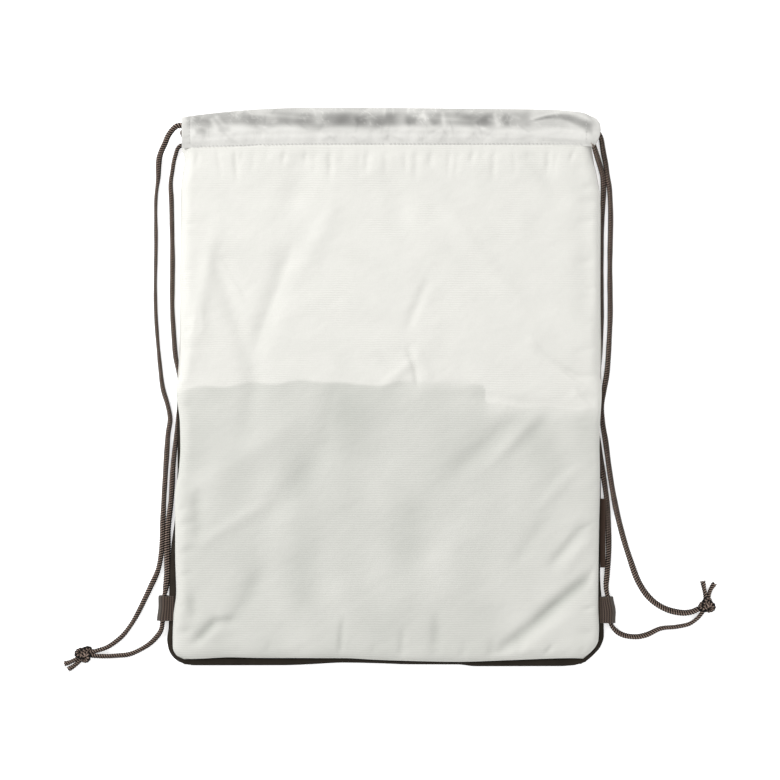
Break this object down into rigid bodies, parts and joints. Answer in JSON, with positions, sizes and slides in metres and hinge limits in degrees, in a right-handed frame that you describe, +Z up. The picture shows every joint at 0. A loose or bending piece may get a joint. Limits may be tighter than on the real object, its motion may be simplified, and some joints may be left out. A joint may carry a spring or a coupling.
{
  "type": "drawstring bag",
  "caption": "Flat drawstring shoe bag of thin cloth, with corded casings at the mouth and side loops that hold the knotted cords.",
  "frame": {"origin": "on the table under the middle of the bag, cords left out", "axes": "+Z up off the table the bag lies on, +Y towards the mouth, +X to the right seen from above"},
  "size_m": [0.5238, 0.4502, 0.0166],
  "materials": {
    "white_polyester": "plain woven polyester, satin",
    "brown_polyester": "plain woven polyester, matt",
    "casing_cloth": "plain woven polyester, folded and stitched",
    "webbing_tape": "woven tape, matt",
    "label_ribbon": "folded ribbon, matt",
    "braided_cord": "herringbone braid, matt"
  },
  "bodies": {
    "bag": {"front_panel": "white_polyester", "left_side_seam": "white_polyester", "right_side_seam": "white_polyester", "bottom_seam": "white_polyester", "rear_upper_panel": "white_polyester", "rear_lower_panel": "brown_polyester", "front_casing": "casing_cloth", "rear_casing": "casing_cloth", "left_cord_front_run": "braided_cord", "left_cord_rear_run": "braided_cord", "right_cord_front_run": "braided_cord", "right_cord_rear_run": "braided_cord"},
    "mouth_left": {"front_left_hem": "casing_cloth", "rear_left_hem": "casing_cloth", "right_cord_turn": "braided_cord", "left_cord_outer_strand": "braided_cord", "left_cord_inner_strand": "braided_cord"},
    "mouth_right": {"front_right_hem": "casing_cloth", "rear_right_hem": "casing_cloth", "left_cord_turn": "braided_cord", "right_cord_outer_strand": "braided_cord", "right_cord_inner_strand": "braided_cord"},
    "left_knot": {"left_knot": "braided_cord"},
    "right_knot": {"right_knot": "braided_cord"},
    "left_loop": {"left_loop": "webbing_tape"},
    "right_loop": {"right_loop": "webbing_tape"},
    "side_ribbon": {"side_ribbon": "label_ribbon"}
  },
  "joints": [
    {"name": "mouth_gather_left", "type": "slide", "parent": "bag", "child": "mouth_left", "axis": [1, 0, 0], "range_m": [0, 0.12], "deforming": ["front_panel", "rear_upper_panel", "left_side_seam", "right_side_seam", "front_casing", "rear_casing", "left_cord_front_run", "left_cord_rear_run", "right_cord_front_run", "right_cord_rear_run"]},
    {"name": "mouth_gather_right", "type": "slide", "parent": "bag", "child": "mouth_right", "axis": [-1, 0, 0], "range_m": [0, 0.12]},
    {"name": "left_cord_pull", "type": "slide", "parent": "mouth_left", "child": "left_knot", "axis": [-1, 0, 0], "range_m": [0, 0.36], "deforming": ["left_cord_outer_strand", "left_cord_inner_strand"]},
    {"name": "right_cord_pull", "type": "slide", "parent": "mouth_right", "child": "right_knot", "axis": [1, 0, 0], "range_m": [0, 0.36], "deforming": ["right_cord_outer_strand", "right_cord_inner_strand"]},
    {"name": "left_loop_flex", "type": "hinge", "parent": "bag", "child": "left_loop", "pos_m": [-0.17065, -0.1783, 0.0059], "axis": [0, 1, 0], "range_deg": [0, 8]},
    {"name": "right_loop_flex", "type": "hinge", "parent": "bag", "child": "right_loop", "pos_m": [0.17065, -0.1775, 0.0059], "axis": [0, -1, 0], "range_deg": [0, 8]},
    {"name": "side_ribbon_flip", "type": "hinge", "parent": "bag", "child": "side_ribbon", "pos_m": [0.17165, -0.1168, 0.006], "axis": [0, -1, 0], "range_deg": [0, 110]}
  ],
  "couplings": [
    {"joint": "mouth_gather_left", "follows": "left_cord_pull", "ratio": 0.33333},
    {"joint": "mouth_gather_right", "follows": "left_cord_pull", "ratio": 0.33333},
    {"joint": "right_cord_pull", "follows": "left_cord_pull", "ratio": 1}
  ]
}
